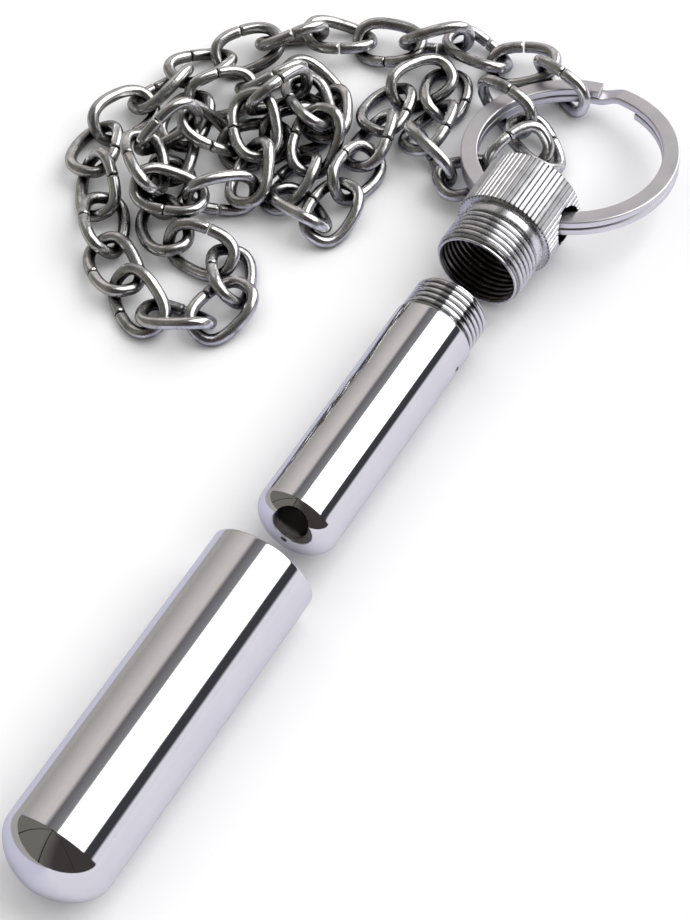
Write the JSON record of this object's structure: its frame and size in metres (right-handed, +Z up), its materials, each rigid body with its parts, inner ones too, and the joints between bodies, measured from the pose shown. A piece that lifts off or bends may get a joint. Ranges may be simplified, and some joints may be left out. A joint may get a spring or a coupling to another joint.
{
  "type": "nested screw capsule on chain",
  "caption": "Pocket puzzle vault: a drilled inner capsule screws into a knurled cap, an outer sleeve screws over both, and a split ring ties the cap to a twisted curb chain.",
  "frame": {"origin": "middle of the base of the bounding box, on the table", "axes": "+Z up from the table; +Y along the common axis of the turned pieces, from the outer sleeve's dome to the cap's head"},
  "size_m": [0.1094, 0.202, 0.0201],
  "materials": {
    "sleeve_steel": "mirror polished stainless steel with faint hairlines",
    "capsule_steel": "mirror polished stainless steel with faint hairlines",
    "cap_steel": "turned and straight knurled, bright, with tool marks",
    "ring_nickel": "nickel plated flat wire, satin",
    "chain_steel": "tumbled bright steel wire, slightly worn"
  },
  "bodies": {
    "chain": {"chain_link_01": "chain_steel", "chain_link_02": "chain_steel", "chain_link_04": "chain_steel", "chain_link_06": "chain_steel", "chain_link_08": "chain_steel", "chain_link_10": "chain_steel", "chain_link_12": "chain_steel", "chain_link_14": "chain_steel", "chain_link_15": "chain_steel", "chain_link_17": "chain_steel", "chain_link_18": "chain_steel", "chain_link_19": "chain_steel", "chain_link_20": "chain_steel", "chain_link_21": "chain_steel", "chain_link_22": "chain_steel", "chain_link_23": "chain_steel", "chain_link_24": "chain_steel", "chain_link_25": "chain_steel", "chain_link_26": "chain_steel", "chain_link_27": "chain_steel", "chain_link_28": "chain_steel", "chain_link_29": "chain_steel", "chain_link_30": "chain_steel", "chain_link_31": "chain_steel", "chain_link_32": "chain_steel", "chain_link_33": "chain_steel", "chain_link_34": "chain_steel", "chain_link_35": "chain_steel", "chain_link_36": "chain_steel", "chain_link_37": "chain_steel", "chain_link_38": "chain_steel", "chain_link_39": "chain_steel", "chain_link_40": "chain_steel", "chain_link_41": "chain_steel", "chain_link_42": "chain_steel", "chain_link_43": "chain_steel", "chain_link_44": "chain_steel", "chain_link_46": "chain_steel", "chain_link_48": "chain_steel", "chain_link_50": "chain_steel", "chain_link_51": "chain_steel", "chain_link_52": "chain_steel", "chain_link_53": "chain_steel", "chain_link_54": "chain_steel"},
    "split_ring": {"split_ring": "ring_nickel"},
    "screw_cap": {"screw_cap": "cap_steel"},
    "inner_capsule": {"inner_capsule": "capsule_steel"},
    "outer_sleeve": {"outer_sleeve": "sleeve_steel"},
    "link_03": {"chain_link_03": "chain_steel"},
    "link_05": {"chain_link_05": "chain_steel"},
    "link_07": {"chain_link_07": "chain_steel"},
    "link_09": {"chain_link_09": "chain_steel"},
    "link_11": {"chain_link_11": "chain_steel"},
    "link_13": {"chain_link_13": "chain_steel"},
    "link_16": {"chain_link_16": "chain_steel"},
    "link_45": {"chain_link_45": "chain_steel"},
    "link_47": {"chain_link_47": "chain_steel"},
    "link_49": {"chain_link_49": "chain_steel"}
  },
  "joints": [
    {"name": "ring_lift", "type": "hinge", "parent": "chain", "child": "split_ring", "pos_m": [0.01996, 0.08835, 0.00475], "axis": [-0.6826, -0.7308, -0.0011], "range_deg": [0, 60]},
    {"name": "cap_swing", "type": "hinge", "parent": "split_ring", "child": "screw_cap", "pos_m": [0.03264, 0.0578, 0.01014], "axis": [0.9917, 0, 0.1288], "range_deg": [-60, 90]},
    {"name": "capsule_screw_in", "type": "slide", "parent": "screw_cap", "child": "inner_capsule", "axis": [0, 1, 0], "range_m": [0, 0.0156]},
    {"name": "sleeve_screw_on", "type": "slide", "parent": "inner_capsule", "child": "outer_sleeve", "axis": [0, 1, 0], "range_m": [0, 0.068]},
    {"name": "link_03_roll", "type": "hinge", "parent": "chain", "child": "link_03", "pos_m": [0.00297, 0.09356, 0.00349], "axis": [-0.9929, 0.0666, 0.0982], "range_deg": [-5, 20]},
    {"name": "link_05_roll", "type": "hinge", "parent": "chain", "child": "link_05", "pos_m": [-0.01361, 0.08582, 0.00354], "axis": [-0.9438, -0.3064, -0.1239], "range_deg": [-20, 6]},
    {"name": "link_07_roll", "type": "hinge", "parent": "chain", "child": "link_07", "pos_m": [-0.03086, 0.07569, 0.00482], "axis": [-0.7176, -0.691, -0.0872], "range_deg": [-5, 20]},
    {"name": "link_09_roll", "type": "hinge", "parent": "chain", "child": "link_09", "pos_m": [-0.04331, 0.06044, 0.00349], "axis": [-0.4407, -0.8853, 0.1482], "range_deg": [-5, 7]},
    {"name": "link_11_roll", "type": "hinge", "parent": "chain", "child": "link_11", "pos_m": [-0.04913, 0.04121, 0.00378], "axis": [-0.3522, -0.9348, 0.0456], "range_deg": [-20, 5]},
    {"name": "link_13_roll", "type": "hinge", "parent": "chain", "child": "link_13", "pos_m": [-0.0431, 0.02354, 0.00398], "axis": [0.6342, -0.763, -0.1249], "range_deg": [-5, 20]},
    {"name": "link_16_roll", "type": "hinge", "parent": "chain", "child": "link_16", "pos_m": [-0.0208, 0.0051, 0.00331], "axis": [0.8683, -0.4739, -0.1464], "range_deg": [-5, 20]},
    {"name": "link_45_roll", "type": "hinge", "parent": "chain", "child": "link_45", "pos_m": [-0.00318, 0.06158, 0.00382], "axis": [-0.0881, 0.9907, 0.1033], "range_deg": [-20, 5]},
    {"name": "link_47_roll", "type": "hinge", "parent": "chain", "child": "link_47", "pos_m": [-0.00256, 0.08001, 0.00373], "axis": [0.4731, 0.8804, 0.0331], "range_deg": [-5, 20]},
    {"name": "link_49_roll", "type": "hinge", "parent": "chain", "child": "link_49", "pos_m": [0.00498, 0.07051, 0.0039], "axis": [-0.0076, -1, -0.0024], "range_deg": [-5, 20]}
  ]
}
